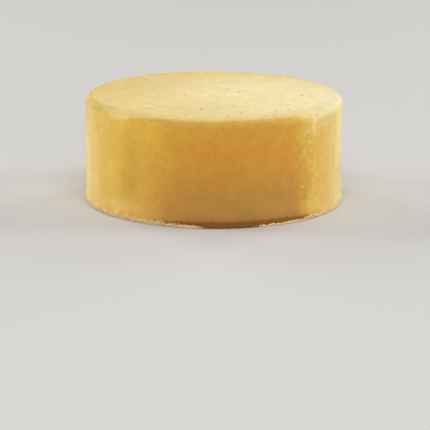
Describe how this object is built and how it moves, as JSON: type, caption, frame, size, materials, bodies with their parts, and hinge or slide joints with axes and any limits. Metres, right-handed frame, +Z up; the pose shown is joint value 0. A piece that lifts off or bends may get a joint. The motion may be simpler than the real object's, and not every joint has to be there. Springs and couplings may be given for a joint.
{
  "type": "honey cake",
  "caption": "Uncut round honey cake, a low drum with a softly rounded top edge and a smooth coat of fine golden biscuit crumbs, standing on a flat base.",
  "frame": {"origin": "middle of the flat base, on the surface that the cake stands on", "axes": "+Z up along the drum's axis; the side that faces the picture's camera faces -Y, and +X is to its right"},
  "size_m": [0.2012, 0.2011, 0.0853],
  "materials": {
    "crumb_coat": "matt coat of fine honey biscuit crumbs, pale cream gold on the top and deeper honey gold on the side"
  },
  "bodies": {
    "root": {"honey_cake": "crumb_coat"}
  },
  "joints": []
}
